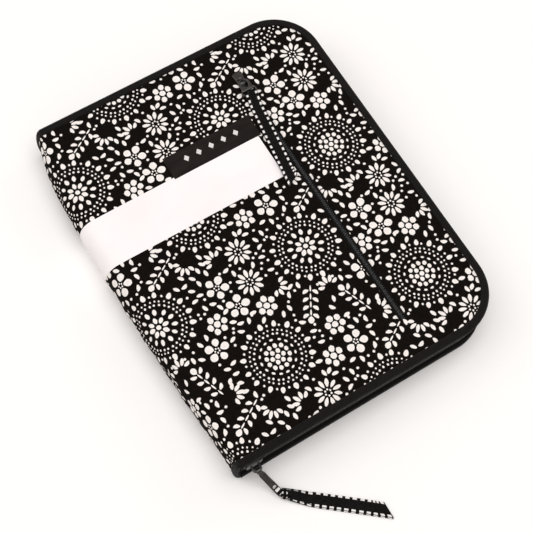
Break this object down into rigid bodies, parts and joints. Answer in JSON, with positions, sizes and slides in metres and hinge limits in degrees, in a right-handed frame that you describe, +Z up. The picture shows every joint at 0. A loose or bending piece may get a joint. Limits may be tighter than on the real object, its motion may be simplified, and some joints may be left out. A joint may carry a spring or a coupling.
{
  "type": "interchangeable needle set",
  "caption": "Zip-round printed fabric case with paper band, holding interchangeable knitting needle tips in slots and coiled cables, caps and keys in a mesh pouch.",
  "frame": {"origin": "centre of the closed case's underside, without the ribbon: the middle of the back cover's flat outer face", "axes": "+Z up from the back cover to the front cover, +X from the spine towards the opening side, +Y along the spine away from the parked main slider"},
  "size_m": [0.1656, 0.2647, 0.0279],
  "materials": {
    "black_binding": "ribbed bias tape",
    "printed_cotton": "black cotton canvas with an off-white floral print",
    "padding": "foam",
    "board": "grey board",
    "lining": "plain black twill",
    "paper_band": "satin coated paper",
    "zip_tape": "woven polyester tape",
    "zip_coil": "nylon coil",
    "dark_metal": "gunmetal enamel",
    "woven_label": "satin woven",
    "ribbon": "grosgrain with white stitching",
    "mesh": "open net",
    "cable": "coated cable",
    "bright_steel": "polished",
    "cap_plastic": "moulded",
    "nickel_plate": "bright nickel plate"
  },
  "bodies": {
    "back_cover": {"back_binding": "black_binding", "back_fabric": "printed_cotton", "back_foam": "padding", "back_board": "board", "back_lining": "lining", "back_band": "paper_band", "back_zip_tape": "zip_tape", "back_zip_coil": "zip_coil", "back_zip_stops": "dark_metal", "needle_pocket": "lining", "needle_elastic": "zip_tape"},
    "spine": {"spine_board": "board", "spine_foam": "padding", "spine_fabric": "printed_cotton", "spine_lining": "lining", "spine_binding": "black_binding", "spine_band": "paper_band"},
    "front_cover": {"front_binding": "black_binding", "front_fabric": "printed_cotton", "front_foam": "padding", "front_board": "board", "front_lining": "lining", "front_band": "paper_band", "front_zip_tape": "zip_tape", "front_zip_coil": "zip_coil", "front_zip_stops": "dark_metal", "woven_label": "woven_label", "pocket_zip_tape": "zip_tape", "pocket_zip_coil": "zip_coil", "mesh_pouch": "mesh", "pouch_zip_tape": "zip_tape", "pouch_zip_coil": "zip_coil", "cables_24in": "cable", "cables_32in": "cable", "cable_ferrules": "bright_steel", "end_caps": "cap_plastic", "tightening_keys": "bright_steel"},
    "main_slider": {"main_slider": "dark_metal"},
    "main_pull": {"main_pull_tab": "dark_metal"},
    "main_ribbon": {"main_ribbon": "ribbon"},
    "pocket_slider": {"pocket_slider": "dark_metal"},
    "pocket_pull": {"pocket_pull_tab": "dark_metal"},
    "pocket_ribbon": {"pocket_ribbon": "ribbon"},
    "pouch_slider": {"pouch_slider": "dark_metal"},
    "pouch_pull": {"pouch_pull_tab": "dark_metal"},
    "tips_3_50mm": {"needles_3_50mm": "nickel_plate"},
    "tips_3_75mm": {"needles_3_75mm": "nickel_plate"},
    "tips_4_00mm": {"needles_4_00mm": "nickel_plate"},
    "tips_4_50mm": {"needles_4_50mm": "nickel_plate"},
    "tips_5_00mm": {"needles_5_00mm": "nickel_plate"},
    "tips_5_50mm": {"needles_5_50mm": "nickel_plate"},
    "tips_6_00mm": {"needles_6_00mm": "nickel_plate"},
    "tips_6_50mm": {"needles_6_50mm": "nickel_plate"},
    "tips_8_00mm": {"needles_8_00mm": "nickel_plate"}
  },
  "joints": [
    {"name": "cover_fold", "type": "hinge", "parent": "spine", "child": "front_cover", "pos_m": [-0.078, 0, 0.023], "axis": [0, -1, 0], "range_deg": [0, 90], "deforming": ["front_zip_coil", "spine_fabric", "spine_foam", "spine_band"]},
    {"name": "spine_fold", "type": "hinge", "parent": "back_cover", "child": "spine", "pos_m": [-0.078, 0, 0.002], "axis": [0, -1, 0], "range_deg": [0, 90], "deforming": ["back_zip_coil"]},
    {"name": "main_slider_slide", "type": "slide", "parent": "back_cover", "child": "main_slider", "axis": [1, 0, 0], "range_m": [0, 0.118]},
    {"name": "main_pull_hinge", "type": "hinge", "parent": "main_slider", "child": "main_pull", "pos_m": [-0.07, -0.1084, 0.0125], "axis": [-1, 0, 0], "range_deg": [0, 120]},
    {"name": "main_ribbon_hinge", "type": "hinge", "parent": "main_pull", "child": "main_ribbon", "pos_m": [-0.06551, -0.12056, 0.00262], "axis": [-0.9613, -0.2756, 0], "range_deg": [0, 50]},
    {"name": "pocket_slider_slide", "type": "slide", "parent": "front_cover", "child": "pocket_slider", "axis": [0, -1, 0], "range_m": [0, 0.148], "deforming": ["pocket_zip_coil"]},
    {"name": "pocket_pull_hinge", "type": "hinge", "parent": "pocket_slider", "child": "pocket_pull", "pos_m": [0.0303, 0.077, 0.02655], "axis": [-1, 0, 0], "range_deg": [0, 120]},
    {"name": "pocket_ribbon_hinge", "type": "hinge", "parent": "pocket_pull", "child": "pocket_ribbon", "pos_m": [0.0303, 0.0665, 0.02655], "axis": [-1, 0, 0], "range_deg": [0, 50]},
    {"name": "pouch_slider_slide", "type": "slide", "parent": "front_cover", "child": "pouch_slider", "axis": [1, 0, 0], "range_m": [0, 0.098], "deforming": ["pouch_zip_coil"]},
    {"name": "pouch_pull_hinge", "type": "hinge", "parent": "pouch_slider", "child": "pouch_pull", "pos_m": [-0.045, 0.046, 0.01295], "axis": [0, 1, 0], "range_deg": [0, 60]},
    {"name": "tips_3_50mm_slide", "type": "slide", "parent": "back_cover", "child": "tips_3_50mm", "axis": [0, 1, 0], "range_m": [0, 0.062]},
    {"name": "tips_3_75mm_slide", "type": "slide", "parent": "back_cover", "child": "tips_3_75mm", "axis": [0, 1, 0], "range_m": [0, 0.062]},
    {"name": "tips_4_00mm_slide", "type": "slide", "parent": "back_cover", "child": "tips_4_00mm", "axis": [0, 1, 0], "range_m": [0, 0.062]},
    {"name": "tips_4_50mm_slide", "type": "slide", "parent": "back_cover", "child": "tips_4_50mm", "axis": [0, 1, 0], "range_m": [0, 0.062]},
    {"name": "tips_5_00mm_slide", "type": "slide", "parent": "back_cover", "child": "tips_5_00mm", "axis": [0, 1, 0], "range_m": [0, 0.062]},
    {"name": "tips_5_50mm_slide", "type": "slide", "parent": "back_cover", "child": "tips_5_50mm", "axis": [0, 1, 0], "range_m": [0, 0.062]},
    {"name": "tips_6_00mm_slide", "type": "slide", "parent": "back_cover", "child": "tips_6_00mm", "axis": [0, 1, 0], "range_m": [0, 0.062]},
    {"name": "tips_6_50mm_slide", "type": "slide", "parent": "back_cover", "child": "tips_6_50mm", "axis": [0, 1, 0], "range_m": [0, 0.062]},
    {"name": "tips_8_00mm_slide", "type": "slide", "parent": "back_cover", "child": "tips_8_00mm", "axis": [0, 1, 0], "range_m": [0, 0.062]}
  ],
  "couplings": [
    {"joint": "spine_fold", "follows": "cover_fold", "ratio": 1}
  ]
}
